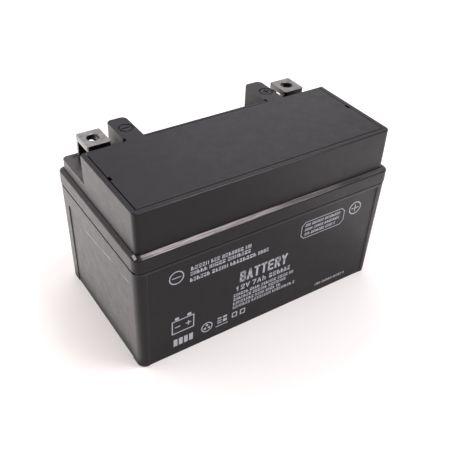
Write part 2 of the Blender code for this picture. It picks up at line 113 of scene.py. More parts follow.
def add_loft(mesh, sections):
    """Add one closed body through sections, each an outline and its height."""
    rings = [[mesh.verts.new((x, y, z)) for x, y in outline] for outline, z in sections]
    faces = [mesh.faces.new(reversed(rings[0])), mesh.faces.new(rings[-1])]
    for lower, upper in zip(rings, rings[1:]):
        for i in range(len(lower)):
            j = (i + 1) % len(lower)
            faces.append(mesh.faces.new((lower[i], lower[j], upper[j], upper[i])))
    bmesh.ops.recalc_face_normals(mesh, faces=faces)
    return [vert for one in rings for vert in one]


def add_box(mesh, low, high):
    outline = rectangle(low[0], high[0], low[1], high[1])
    return add_loft(mesh, [(outline, low[2]), (outline, high[2])])


def add_turned(mesh, profile, steps=48, centre=(0, 0, 0), turn=None):
    """Add a body turned about Z from (radius, height) points; radius 0 closes on the axis."""
    spans = []
    for radius, z in profile:
        if radius == 0:
            spans.append([mesh.verts.new((0, 0, z))])
        else:
            angles = [tau * i / steps for i in range(steps)]
            spans.append([mesh.verts.new((radius * cos(a), radius * sin(a), z)) for a in angles])
    closed = profile[0][0] != 0
    pairs = list(zip(spans, spans[1:] + spans[:1])) if closed else list(zip(spans, spans[1:]))
    faces = []
    for lower, upper in pairs:
        for i in range(steps):
            j = (i + 1) % steps
            corners = [lower[i % len(lower)], lower[j % len(lower)],
                       upper[j % len(upper)], upper[i % len(upper)]]
            faces.append(mesh.faces.new(list(dict.fromkeys(corners))))
    bmesh.ops.recalc_face_normals(mesh, faces=faces)
    verts = [vert for one in spans for vert in one]
    if turn is not None:
        bmesh.ops.rotate(mesh, verts=verts, matrix=turn)
    bmesh.ops.translate(mesh, verts=verts, vec=centre)
    return verts


def add_outline_along_x(mesh, outline, low_x, high_x):
    """Add a body whose (y, z) outline runs from low_x to high_x."""
    verts = add_loft(mesh, [(outline, low_x), (outline, high_x)])
    for vert in verts:
        vert.co = (vert.co.z, vert.co.x, vert.co.y)
    faces = list({face for vert in verts for face in vert.link_faces})
    bmesh.ops.recalc_face_normals(mesh, faces=faces)


def make_piece(name, mesh, finish):
    """Turn a bmesh into an object."""
    data = bpy.data.meshes.new(name)
    mesh.to_mesh(data)
    mesh.free()
    data.materials.append(finish)
    made = bpy.data.objects.new(name, data)
    bpy.context.scene.collection.objects.link(made)
    return made


def combine(target, mesh, operation="DIFFERENCE"):
    """Cut a bmesh's bodies from an object, or join them to it, and apply the result."""
    tool = make_piece("tool", mesh, target.data.materials[0])
    boolean = target.modifiers.new("boolean", "BOOLEAN")
    boolean.operation = operation
    boolean.solver = "EXACT"
    boolean.object = tool
    apply_modifiers(target)
    data = tool.data
    bpy.data.objects.remove(tool, do_unlink=True)
    bpy.data.meshes.remove(data)


def apply_modifiers(target):
    """Replace an object's mesh by its evaluated mesh."""
    bpy.context.view_layer.update()
    evaluated = target.evaluated_get(bpy.context.evaluated_depsgraph_get())
    data = bpy.data.meshes.new_from_object(evaluated)
    old = target.data
    target.modifiers.clear()
    target.data = data
    bpy.data.meshes.remove(old)


def soften(target, width, segments=3, angle=30):
    """Round the edges sharper than an angle and keep the flat faces flat."""
    clean = bmesh.new()
    clean.from_mesh(target.data)
    bmesh.ops.remove_doubles(clean, verts=clean.verts, dist=0.002 * MM)
    bmesh.ops.dissolve_limit(clean, angle_limit=radians(0.5), verts=clean.verts, edges=clean.edges)
    clean.to_mesh(target.data)
    clean.free()
    target.data.shade_smooth()
    bevel = target.modifiers.new("bevel", "BEVEL")
    bevel.width = width
    bevel.segments = segments
    bevel.limit_method = "ANGLE"
    bevel.angle_limit = radians(angle)
    bevel.use_clamp_overlap = True
    bevel.harden_normals = False
    apply_modifiers(target)
    smooth(target)


def smooth(target):
    """Smooth shading with normals that keep large flat faces flat."""
    target.data.shade_smooth()
    target.data.set_sharp_from_angle(angle=radians(40))
    weighted = target.modifiers.new("weighted", "WEIGHTED_NORMAL")
    weighted.keep_sharp = True
    weighted.weight = 80


def stand_for(piece, node):
    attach(piece, CASE)
    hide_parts(node)


# Materials

class Nodes:
    """A few words for building a node tree."""

    def __init__(self, name):
        self.material = bpy.data.materials.new(name)
        self.material.use_nodes = True
        self.tree = self.material.node_tree
        self.shader = self.tree.nodes["Principled BSDF"]
        self.place = self.tree.nodes.new("ShaderNodeTexCoord").outputs["Object"]

    def link(self, source, target):
        self.tree.links.new(source, target)

    def stretched(self, x, y, z):
        mapping = self.tree.nodes.new("ShaderNodeMapping")
        mapping.inputs["Scale"].default_value = (x, y, z)
        self.link(self.place, mapping.inputs["Vector"])
        return mapping.outputs["Vector"]

    def noise(self, size, detail=3.0, rough=0.55, place=None):
        """Noise whose features are about size metres across."""
        node = self.tree.nodes.new("ShaderNodeTexNoise")
        node.inputs["Scale"].default_value = 1 / size
        node.inputs["Detail"].default_value = detail
        node.inputs["Roughness"].default_value = rough
        self.link(place or self.place, node.inputs["Vector"])
        return node.outputs["Fac"]

    def cells(self, size):
        node = self.tree.nodes.new("ShaderNodeTexVoronoi")
        node.inputs["Scale"].default_value = 1 / size
        self.link(self.place, node.inputs["Vector"])
        return node.outputs["Distance"]

    def fit(self, value, low, high, to_low=0.0, to_high=1.0):
        """Map low..high to to_low..to_high, clamped."""
        node = self.tree.nodes.new("ShaderNodeMapRange")
        self.link(value, node.inputs["Value"])
        for key, number in zip(("From Min", "From Max", "To Min", "To Max"),
                               (low, high, to_low, to_high)):
            node.inputs[key].default_value = number
        return node.outputs["Result"]

    def between(self, value, low, high, blur=0.06 * MM):
        """1 between low and high, fading to 0 within blur outside."""
        return self.math("MULTIPLY", self.fit(value, low - blur, low),
                         self.fit(value, high + blur, high))

    def math(self, operation, a, b):
        node = self.tree.nodes.new("ShaderNodeMath")
        node.operation = operation
        for socket, value in zip(node.inputs, (a, b)):
            if isinstance(value, (int, float)):
                socket.default_value = value
            else:
                self.link(value, socket)
        return node.outputs["Value"]

    def mix(self, amount, a, b):
        """Mix two colours, or two colour sockets."""
        node = self.tree.nodes.new("ShaderNodeMix")
        node.data_type = "RGBA"
        self.link(amount, node.inputs["Factor"])
        for socket, value in zip((node.inputs[6], node.inputs[7]), (a, b)):
            if isinstance(value, tuple):
                socket.default_value = (*value, 1)
            else:
                self.link(value, socket)
        return node.outputs[2]

    def axis(self, letter, source="place"):
        node = self.tree.nodes.new("ShaderNodeSeparateXYZ")
        if source == "place":
            self.link(self.place, node.inputs[0])
        else:
            geometry = self.tree.nodes.new("ShaderNodeNewGeometry")
            self.link(geometry.outputs["Normal"], node.inputs[0])
        return node.outputs[letter]

    def bump(self, layers):
        """Layers are (height socket, depth in metres); the last is applied on top."""
        normal = None
        for height, depth in layers:
            node = self.tree.nodes.new("ShaderNodeBump")
            node.inputs["Strength"].default_value = 1.0
            node.inputs["Distance"].default_value = depth
            self.link(height, node.inputs["Height"])
            if normal is not None:
                self.link(normal, node.inputs["Normal"])
            normal = node.outputs["Normal"]
        self.link(normal, self.shader.inputs["Normal"])

    def set(self, **values):
        for key, value in values.items():
            socket = self.shader.inputs[key.replace("_", " ")]
            if isinstance(value, tuple):
                socket.default_value = (*value, 1)
            elif isinstance(value, (int, float)):
                socket.default_value = value
            else:
                self.link(value, socket)
        return self.material


def case_material():
    """Black moulded polypropylene: fine grain, faint flow marks and dust, with painted highlights on
    the ledge and along edges, and painted light by the left terminal.
    """
    n = Nodes("case_plastic")
    broad = n.noise(22 * MM, detail=2)
    grain = n.noise(0.42 * MM, detail=2, rough=0.6)
    flow = n.noise(5 * MM, detail=4, rough=0.6)
    specks = n.fit(n.noise(0.9 * MM, detail=1), 0.77, 0.81)
    up = n.fit(n.axis("Z", "normal"), 0.6, 0.95)
    dust = n.math("MULTIPLY", specks, n.math("ADD", n.math("MULTIPLY", up, 0.15), 0.03))
    base = n.mix(n.fit(broad, 0.3, 0.7), (0.0040, 0.0037, 0.0043), (0.0056, 0.0051, 0.0060))
    base = n.mix(n.fit(grain, 0.25, 0.75, 0.0, 0.35), base, (0.011, 0.010, 0.011))
    # A painted highlight on the ledge in front of the raised part, streaked, most at its left end.
    streaks = n.noise(0.45 * MM, detail=3, rough=0.6, place=n.stretched(0.03, 1, 1))
    height = n.axis("Z")
    front = n.fit(n.axis("Y"), -PLATEAU_Y + 0.1 * MM, -PLATEAU_Y - 0.25 * MM)
    band = n.math("MULTIPLY", n.fit(height, SEAM_Z + 7.05 * MM, SEAM_Z + 7.15 * MM),
                  n.fit(height, SEAM_Z + 8.35 * MM, SEAM_Z + 8.25 * MM))
    across = n.axis("X")
    fade = n.math("MULTIPLY", n.fit(across, -72.0 * MM, -62.0 * MM, 0.35, 1.0),
                  n.fit(across, -54 * MM, 45 * MM, 1.0, 0.11))
    fade = n.math("MULTIPLY", fade, n.fit(across, -71.2 * MM, -70.4 * MM))
    ledge_highlight = n.math("MULTIPLY", n.math("MULTIPLY", band, front), fade)
    # A second small painted highlight on the corner to its left
    corner_highlight = n.between(across, -73.85 * MM, -72.75 * MM)
    corner_highlight = n.math("MULTIPLY", corner_highlight, n.fit(n.axis("Y"), -38.6 * MM, -38.9 * MM))
    corner_highlight = n.math("MULTIPLY", corner_highlight, n.fit(n.axis("Y"), -41.7 * MM, -41.4 * MM))
    corner_highlight = n.math("MULTIPLY", corner_highlight, n.between(height, SEAM_Z + 7.0 * MM, SEAM_Z + 8.4 * MM))
    ledge_highlight = n.math("MAXIMUM", ledge_highlight, n.math("MULTIPLY", corner_highlight, 0.8))
    # The ledge and corner highlights are painted in a pale colour.
    base = n.mix(n.math("MULTIPLY", ledge_highlight, n.fit(streaks, 0.38, 0.62, 0.2, 1.0)), base,
                 (0.50, 0.455, 0.455))
    # Painted highlights along edges: the raised part's front rim, the left panel's top, the lid's
    # lower edge and the front panel's top and side edges
    patchy = n.fit(n.noise(6 * MM, detail=3), 0.35, 0.6, 0.6, 1.0)
    rim = n.math("MULTIPLY", n.between(height, TOP - 0.24 * MM, TOP - 0.08 * MM),
                 n.fit(n.axis("Y"), -PLATEAU_Y + 0.62 * MM, -PLATEAU_Y + 0.52 * MM))
    rim = n.math("MULTIPLY", rim, n.fit(across, -71 * MM, -50 * MM, 0.25, 1.0))
    rim = n.math("MULTIPLY", rim, n.fit(across, 0 * MM, 45 * MM, 1.0, 0.0))
    leaning = n.math("ADD", height, n.math("MULTIPLY", n.axis("Y"), 0.097))
    end_line = n.math("MULTIPLY", n.between(leaning, SEAM_Z - 13.35 * MM, SEAM_Z - 12.95 * MM),
                      n.fit(across, -HALF_X + 3 * MM, -HALF_X + 2 * MM))
    end_line = n.math("MULTIPLY", end_line, n.between(n.axis("Y"), -33 * MM, 12 * MM, 6 * MM))
    wide = n.math("ABSOLUTE", across, 0)
    long_line = n.math("MAXIMUM", n.between(height, SEAM_Z + 0.05 * MM, SEAM_Z + 0.4 * MM),
                       n.between(height, SEAM_Z - 2.05 * MM, SEAM_Z - 1.75 * MM))
    upright = n.math("MULTIPLY", n.between(wide, 68.8 * MM, 69.15 * MM),
                     n.fit(height, SEAM_Z - 1.5 * MM, SEAM_Z - 2.0 * MM))
    long_line = n.math("MULTIPLY", n.math("MAXIMUM", long_line, upright),
                       n.fit(n.axis("Y"), -HALF_Y + 2 * MM, -HALF_Y + 1 * MM))
    painted_light = n.math("MAXIMUM", n.math("MULTIPLY", rim, 0.17), n.math("MULTIPLY", end_line, 0.35))
    painted_light = n.math("MAXIMUM", painted_light, n.math("MULTIPLY", long_line, 0.07))
    # Painted light on the left tab's left wall and the shelf beside it, by the left terminal.
    corner = n.math("MULTIPLY", n.fit(across, -48.9 * MM, -49.2 * MM),
                    n.fit(n.axis("Y"), RECESS_Y + 0.1 * MM, RECESS_Y + 0.4 * MM))
    corner = n.math("MULTIPLY", corner, n.between(height, SHELF_Z - 0.3 * MM, TOP - 0.4 * MM))
    painted_light = n.math("MAXIMUM", painted_light, n.math("MULTIPLY", corner, 0.15))
    # The painted highlights and painted light are mixed in pale, patchy along their length.
    base = n.mix(n.math("MULTIPLY", painted_light, patchy), base, (0.48, 0.46, 0.46))
    base = n.mix(dust, base, (0.30, 0.29, 0.28))
    rough = n.math("ADD", n.fit(flow, 0.3, 0.7, 0.41, 0.48), n.fit(grain, 0.3, 0.7, -0.03, 0.04))
    n.bump([(broad, 0.20 * MM), (flow, 0.04 * MM), (grain, 0.015 * MM)])
    return n.set(Base_Color=base, Roughness=rough, Specular_IOR_Level=0.23)


def lead_material(name, base, painted_shade=0.25):
    """Cast lead with painted light: lighter on top and along its left lower edge, painted shade on
    every other face.
    """
    n = Nodes(name)
    bloom = n.noise(4 * MM, detail=4, rough=0.6)
    fine = n.noise(0.7 * MM, detail=4, rough=0.65)
    pits = n.fit(n.noise(1.3 * MM, detail=2), 0.63, 0.72)
    darker = tuple(0.62 * c for c in base)
    lighter = tuple(1.25 * c for c in base)
    color = n.mix(n.fit(bloom, 0.3, 0.7), darker, lighter)
    color = n.mix(n.fit(fine, 0.3, 0.7, 0.0, 0.45), color, base)
    color = n.mix(n.math("MULTIPLY", pits, 0.5), color, tuple(0.4 * c for c in base))
    edge_z = TERMINAL_BOX[-1][1].z - TERMINAL_PLATE
    side = n.fit(n.between(n.axis("Z"), edge_z - 0.2 * MM, edge_z + 0.7 * MM), 0.0, 1.0, 0.15, 0.6)
    # Painted light on faces turned up and on left faces near the bolt plate's lower edge; painted
    # shade on the rest.
    painted_light = n.math("MAXIMUM", n.fit(n.axis("Z", "normal"), 0.25, 0.8),
                    n.math("MULTIPLY", n.fit(n.axis("X", "normal"), -0.25, -0.8), side))
    color = n.mix(painted_light, tuple(painted_shade * c for c in base), color)
    rough = n.fit(fine, 0.3, 0.7, 0.30, 0.48)
    n.bump([(bloom, 0.15 * MM), (fine, 0.06 * MM), (pits, -0.08 * MM)])
    return n.set(Base_Color=color, Roughness=rough, Metallic=1.0)


def ink_material():
    """Pale grey pad-printed ink, thin in places."""
    n = Nodes("print_ink")
    worn = n.noise(0.5 * MM, detail=4, rough=0.7)
    color = n.mix(n.fit(worn, 0.35, 0.75), (0.40, 0.405, 0.44), (0.32, 0.325, 0.36))
    n.bump([(worn, 0.01 * MM)])
    return n.set(Base_Color=color, Roughness=n.fit(worn, 0.3, 0.7, 0.45, 0.6))


def resin_material(name, low, high):
    """Potting resin with a slightly wavy, dusty skin."""
    n = Nodes(name)
    wave = n.noise(3 * MM, detail=2)
    dust = n.noise(0.4 * MM, detail=3)
    color = n.mix(n.fit(wave, 0.3, 0.7), low, high)
    n.bump([(wave, 0.3 * MM), (dust, 0.01 * MM)])
    return n.set(Base_Color=color, Roughness=n.fit(dust, 0.3, 0.7, 0.30, 0.45))


def rubber_material():
    """Black moulded rubber with a light bloom."""
    n = Nodes("seal_rubber")
    bloom = n.noise(1.5 * MM, detail=4)
    fine = n.noise(0.15 * MM, detail=2)
    color = n.mix(n.fit(bloom, 0.35, 0.7), (0.014, 0.014, 0.014), (0.045, 0.044, 0.042))
    n.bump([(fine, 0.01 * MM)])
    return n.set(Base_Color=color, Roughness=n.fit(bloom, 0.3, 0.7, 0.65, 0.8))


def paste_material(name, low, high):
    """Pasted plate: the grid's squares show faintly through rough paste."""
    n = Nodes(name)
    rough_paste = n.noise(0.8 * MM, detail=5, rough=0.7)
    patches = n.noise(7 * MM, detail=3)
    lines = []
    for letter in ("Y", "Z"):
        wave = n.math("SINE", n.math("MULTIPLY", n.axis(letter), tau / (6 * MM)), 0)
        lines.append(n.fit(wave, 0.9, 1.0, 0.0, 0.5))
    grid = n.math("MAXIMUM", lines[0], lines[1])
    color = n.mix(n.fit(patches, 0.3, 0.7), low, high)
    color = n.mix(grid, color, tuple(0.6 * c for c in high))
    n.bump([(patches, 0.1 * MM), (rough_paste, 0.08 * MM)])
    return n.set(Base_Color=color, Roughness=n.fit(rough_paste, 0.3, 0.7, 0.7, 0.95))


def mat_material():
    """White glass-fibre mat with loose fibres."""
    n = Nodes("glass_mat")
    fibres = n.noise(0.3 * MM, detail=4, rough=0.7, place=n.stretched(1, 0.12, 1))
    cross = n.noise(0.3 * MM, detail=4, rough=0.7, place=n.stretched(1, 1, 0.12))
    both = n.math("MAXIMUM", fibres, cross)
    color = n.mix(n.fit(both, 0.45, 0.75), (0.72, 0.72, 0.70), (0.88, 0.88, 0.86))
    n.bump([(both, 0.05 * MM)])
    return n.set(Base_Color=color, Roughness=0.95)


def floor_material():
    """Matt white paper."""
    n = Nodes("white_paper")
    tone = n.noise(300 * MM, detail=1)
    color = n.mix(n.fit(tone, 0.3, 0.7), (0.87, 0.85, 0.81), (0.89, 0.87, 0.83))
    return n.set(Base_Color=color, Roughness=0.9)


# Container

def case_profile_sections(half_x, half_y, profile):
    """Sections from (inset, height, corner radius) points up the outside of a body."""
    return [(rounded_rectangle(half_x - inset, half_y - inset, radius), z)
            for inset, z, radius in profile]


def make_container(finish):
    half_x = CONTAINER_HIGH.x
    half_y = CONTAINER_HIGH.y
    top = CONTAINER_HIGH.z - 0.15 * MM
    foot_round = 0.7 * MM
    top_round = 0.25 * MM
    profile = [(DRAFT + foot_round * (1 - cos(radians(t))), foot_round * (1 - sin(radians(t))),
                CORNER) for t in (90, 72, 54, 36, 18, 0)]
    profile.append((top_round * 0.02, top - top_round, CORNER))
    profile += [(top_round * (1 - cos(radians(t))), top - top_round * (1 - sin(radians(t))), CORNER)
                for t in (30, 60, 90)]
    body = bmesh.new()
    add_loft(body, case_profile_sections(half_x, half_y, profile))
    container = make_piece("case_container", body, finish)

    length = 2 * (half_x - WALL)
    pitch = (length + PARTITION) / CELLS
    cell = pitch - PARTITION
    cells = bmesh.new()
    for number in range(CELLS):
        middle = (number - (CELLS - 1) / 2) * pitch
        add_box(cells, (middle - cell / 2, -(half_y - WALL), FLOOR),
                (middle + cell / 2, half_y - WALL, top + BEYOND))
    combine(container, cells)

    holes = bmesh.new()
    for number in range(1, CELLS):
        low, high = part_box(f"intercell_weld_{number}")
        middle = (low + high) / 2
        reach = PARTITION
        radius = (high.z - low.z) / 2 + GAP
        add_turned(holes, [(0, -reach), (radius, -reach), (radius, reach), (0, reach)], steps=32,
                   centre=middle, turn=Matrix.Rotation(pi / 2, 3, "Y"))
    combine(container, holes)

    seam_depth = 1.2 * MM  # the shadow gap under the lid at the two ends
    seam_height = 0.8 * MM
    panels = bmesh.new()
    for side in (-1, 1):
        for half, panel_top, slope, foot, seam, swap in [
                (68.7 * MM, SEAM_Z - 2.0 * MM, 0.5 * MM, half_y - DRAFT, half_y, False),
                (33.5 * MM, SEAM_Z - 10.3 * MM, 0.2 * MM, half_x - DRAFT, half_x, True)]:
            add_panel_cutter(panels, side, half, panel_top, slope, foot, seam, swap)
        low_x, high_x = sorted((side * (half_x - seam_depth), side * (half_x + MM)))
        add_box(panels, (low_x, -half_y, top - seam_height), (high_x, half_y, top + MM))
    combine(container, panels)
    soften(container, 0.14 * MM, segments=2)
    stand_for(container, "container")
    return container


def wall_at(foot, seam, z):
    """How far a drafted wall stands out at a height."""
    return foot + (seam - foot) * z / CONTAINER_HIGH.z


def add_panel_cutter(mesh, side, half, top, side_slope, foot, seam, swap):
    """A wedge that cuts the shallow panel, its edges leaning outwards, out of one wall."""
    low = -3 * MM
    out = 2 * MM
    top_slope = 0.9 * MM
    rings = []
    for depth in (-PANEL_DEPTH, out):
        grow = (depth + PANEL_DEPTH) / PANEL_DEPTH
        wide = half + side_slope * grow
        high = top + top_slope * (grow - 1)
        ring = []
        for across, z in ((-wide, low), (wide, low), (wide, high), (-wide, high)):
            away = side * (wall_at(foot, seam, z) + depth)
            ring.append(mesh.verts.new((away, across, z) if swap else (across, away, z)))
        rings.append(ring)
    faces = [mesh.faces.new(rings[0]), mesh.faces.new(rings[1])]
    for i in range(4):
        j = (i + 1) % 4
        faces.append(mesh.faces.new((rings[0][i], rings[0][j], rings[1][j], rings[1][i])))
    bmesh.ops.recalc_face_normals(mesh, faces=faces)


# Lid

def make_lid(finish):
    edge = 0.7 * MM
    low_edge = 0.25 * MM
    top_edge = 0.55 * MM
    flange_top = SEAM_Z + 7.2 * MM
    ledge_top = SEAM_Z + 8.3 * MM
    profile = [(low_edge * (1 - cos(radians(t))), SEAM_Z + low_edge * (1 - sin(radians(t))), CORNER)
               for t in (90, 60, 30, 0)]
    profile += [(edge * (1 - cos(radians(t))), flange_top - edge + edge * sin(radians(t)), CORNER)
                for t in (0, 17, 34, 51, 66)]
    crease = 0.3 * MM  # a fine step along the raised part's foot
    profile += [(LEDGE - crease, ledge_top, PLATEAU_CORNER + crease),
                (LEDGE - crease, ledge_top - crease, PLATEAU_CORNER + crease),
                (LEDGE, ledge_top - crease, PLATEAU_CORNER)]
    profile += [(LEDGE + top_edge * (1 - cos(radians(t))), TOP - top_edge * (1 - sin(radians(t))),
                 PLATEAU_CORNER - top_edge * 0.5 * (1 - cos(radians(t))))
                for t in (0, 18, 36, 54, 72, 90)]
    body = bmesh.new()
    add_loft(body, case_profile_sections(HALF_X, HALF_Y, profile))
    foot_z = ledge_top - crease - 0.01 * MM
    for vertex in body.verts:
        if vertex.co.x < 0 and vertex.co.z > foot_z:
            rise = max(0, vertex.co.z - ledge_top) / (TOP - ledge_top)
            vertex.co.x -= LEFT_SWELL * (LEFT_FOOT_SHARE + (1 - LEFT_FOOT_SHARE) * rise)
    lid = make_piece("case_lid", body, finish)

    recess = bmesh.new()
    far_x = HALF_X + BEYOND
    far_y = HALF_Y + BEYOND
    left = LEFT_TAB[1] + GAP
    right = RIGHT_TAB[0] - GAP
    turn = 1.0 * MM
    corner_x = PLATEAU_X - turn
    corner_y = RECESS_Y - turn
    outline = [(-far_x, corner_y)] + arc((-corner_x, corner_y), turn, 180, 90, 8)
    outline += [(left, RECESS_Y), (left, RIM_Y), (right, RIM_Y), (right, RECESS_Y)]
    outline += arc((corner_x, corner_y), turn, 90, 0, 8)
    outline += [(far_x, corner_y), (far_x, far_y), (-far_x, far_y)]
    add_loft(recess, [(outline, SHELF_Z), (outline, TOP + BEYOND)])
    combine(lid, recess)

    seat_x = PLATE_HIGH.x + GAP
    seat_y = PLATE_LOW.y - GAP
    front_shift = 0.2 * MM  # narrows the seam in front again
    seat = bmesh.new()
    add_box(seat, (-seat_x - LEFT_SWELL, seat_y + front_shift, TOP - PLATE - GAP),
            (seat_x, RECESS_Y + GAP, TOP + BEYOND))
    combine(lid, seat)

    lip = 1.6 * MM
    gallery = bmesh.new()
    deck_top = SEAM_Z + 20.6 * MM
    deck = 2.0 * MM
    add_box(gallery, (-seat_x + lip, seat_y + lip, deck_top),
            (seat_x - lip, RECESS_Y - WALL, TOP + BEYOND))
    combine(lid, gallery)

    cut_head_space(lid, deck_top - deck)
    cut_terminal_pockets(lid)
    add_chimneys(lid, deck_top, deck)
    soften(lid, 0.22 * MM, segments=3)
    stand_for(lid, "lid")
    return lid


def cut_head_space(lid, deck_under):
    """Hollow the lid from below, leaving a rib over each partition."""
    length = 2 * (CONTAINER_HIGH.x - WALL)
    pitch = (length + PARTITION) / CELLS
    cell = pitch - PARTITION
    inner_y = CONTAINER_HIGH.y - WALL - 2.5 * MM
    inner_x = PLATEAU_X - WALL
    low = SEAM_Z - BEYOND
    shelf_under = SHELF_Z - 2.6 * MM
    well_y = 19.2 * MM
    well_z = SEAM_Z + 4.9 * MM
    rooms = bmesh.new()
    for number in range(CELLS):
        front = [(-inner_y, low), (inner_y, low)]
        if number in (0, CELLS - 1):
            rear = [(inner_y, well_z), (well_y, well_z), (well_y, shelf_under)]
        else:
            rear = [(inner_y, shelf_under)]
        roof = [(RECESS_Y - WALL, shelf_under), (RECESS_Y - WALL, deck_under), (-inner_y, deck_under)]
        middle = (number - (CELLS - 1) / 2) * pitch
        add_outline_along_x(rooms, front + rear + roof, max(middle - cell / 2, -inner_x),
                            min(middle + cell / 2, inner_x))
    combine(lid, rooms)


def cut_terminal_pockets(lid):
    """The resin pocket at each terminal, and under it the post's bore with its seal's seat."""
    pockets = bmesh.new()
    bores = bmesh.new()
    for name in ("negative", "positive"):
        low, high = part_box(name + "_resin")
        add_box(pockets, (low.x - GAP, low.y - GAP, low.z - GAP), (high.x + GAP, high.y + GAP, TOP))
        post_low, post_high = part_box(name + "_post")
        seal_low, seal_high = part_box(name + "_post_seal")
        bore = (post_high.x - post_low.x) / 2 + GAP
        seat = (seal_high.x - seal_low.x) / 2 + GAP
        seat_z = SEAM_Z + 6.0 * MM
        middle = (post_low + post_high) / 2
        add_turned(bores, [(0, seat_z - BEYOND), (bore, seat_z - BEYOND), (bore, seat_z),
                           (seat, seat_z), (seat, low.z), (0, low.z)],
                   centre=(middle.x, middle.y, 0))
    combine(lid, pockets)
    combine(lid, bores)


def add_chimneys(lid, deck_top, deck):
    """The six short pipes that the relief valve caps sit on."""
    pipes = bmesh.new()
    bores = bmesh.new()
    for number in range(1, CELLS + 1):
        low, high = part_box(f"valve_cap_{number}")
        middle = (low + high) / 2
        radius = 3.0 * MM
        bore = 1.3 * MM
        top = high.z - 1.5 * MM - GAP
        centre = (middle.x, middle.y, 0)
        add_turned(pipes, [(0, deck_top - deck / 2), (radius, deck_top - deck / 2),
                           (radius, top), (0, top)], centre=centre)
        add_turned(bores, [(0, deck_top - 2 * deck), (bore, deck_top - 2 * deck),
                           (bore, TOP), (0, TOP)], centre=centre)
    combine(lid, pipes, "UNION")
    combine(lid, bores)


# Top plate

def tab_outline(low_x, high_x):
    """The rear end of a tab, from its right root to its left root."""
    radius = 3.0 * MM
    points = [(high_x, RECESS_Y)]
    points += arc((high_x - radius, TAB_END_Y - radius), radius, 0, 90, 10)
    points += arc((low_x + radius, TAB_END_Y - radius), radius, 90, 180, 10)
    return points + [(low_x, RECESS_Y)]


def add_ring_sign(mesh, middle, plus, radius, stroke, bar, low, high):
    """A ring with a minus or a plus in it, as bodies standing from low to high."""
    inner = radius - stroke
    add_turned(mesh, [(inner, low), (radius, low), (radius, high), (inner, high)],
               steps=64, centre=(middle[0], middle[1], 0))
    arm = inner * 0.7
    half = bar / 2
    x, y = middle
    if plus:
        outline = [(x - arm, y - half), (x - half, y - half), (x - half, y - arm),
                   (x + half, y - arm), (x + half, y - half), (x + arm, y - half),
                   (x + arm, y + half), (x + half, y + half), (x + half, y + arm),
                   (x - half, y + arm), (x - half, y + half), (x - arm, y + half)]
    else:
        outline = rectangle(x - arm, x + arm, y - half, y + half)
    add_loft(mesh, [(outline, low), (outline, high)])


def make_top_plate(finish):
    half_x = PLATE_HIGH.x
    inset = 0.3 * MM  # opens the seam at the left and in front
    left_x = -half_x + inset - LEFT_SWELL
    front_y = PLATE_LOW.y + inset
    underside = TOP - PLATE
    outline = ([(left_x, front_y), (half_x, front_y), (half_x, RECESS_Y)]
               + tab_outline(*RIGHT_TAB) + tab_outline(*LEFT_TAB) + [(left_x, RECESS_Y)])
    body = bmesh.new()
    add_loft(body, [(outline, PLATE_LOW.z), (outline, TOP)])
    plate = make_piece("case_top_plate", body, finish)

    below = bmesh.new()
    add_box(below, (-2 * HALF_X, -2 * HALF_Y, 0), (2 * HALF_X, RECESS_Y + GAP, underside))
    combine(plate, below)

    wall = 1.8 * MM
    hollows = bmesh.new()
    notches = bmesh.new()
    for low_x, high_x in (LEFT_TAB, RIGHT_TAB):
        add_box(hollows, (low_x + wall, RECESS_Y + wall + GAP, 0),
                (high_x - wall, TAB_END_Y - wall, underside))
        add_box(notches, (low_x - MM, RECESS_Y + GAP, TOP - 7 * MM),
                (low_x + 1.1 * MM, RECESS_Y + GAP + 2.6 * MM, TOP + MM))
    notch = 1.2 * MM
    for low_x, high_x in ((left_x - MM, left_x + notch), (half_x - notch, half_x + MM)):
        add_box(notches, (low_x, -12.8 * MM, underside - MM), (high_x, -9.8 * MM, TOP + MM))
    combine(plate, hollows)
    combine(plate, notches)
    soften(plate, 0.2 * MM, segments=3)

    grooves = bmesh.new()
    for middle, plus in (((-43.4 * MM, 25.6 * MM), False), ((40.9 * MM, 24.2 * MM), True)):
        add_ring_sign(grooves, middle, plus, 3.9 * MM, 0.8 * MM, 0.75 * MM, TOP - 0.8 * MM, TOP + MM)
    combine(plate, grooves)
    smooth(plate)
    stand_for(plate, "top_plate")
    return plate


# Terminals

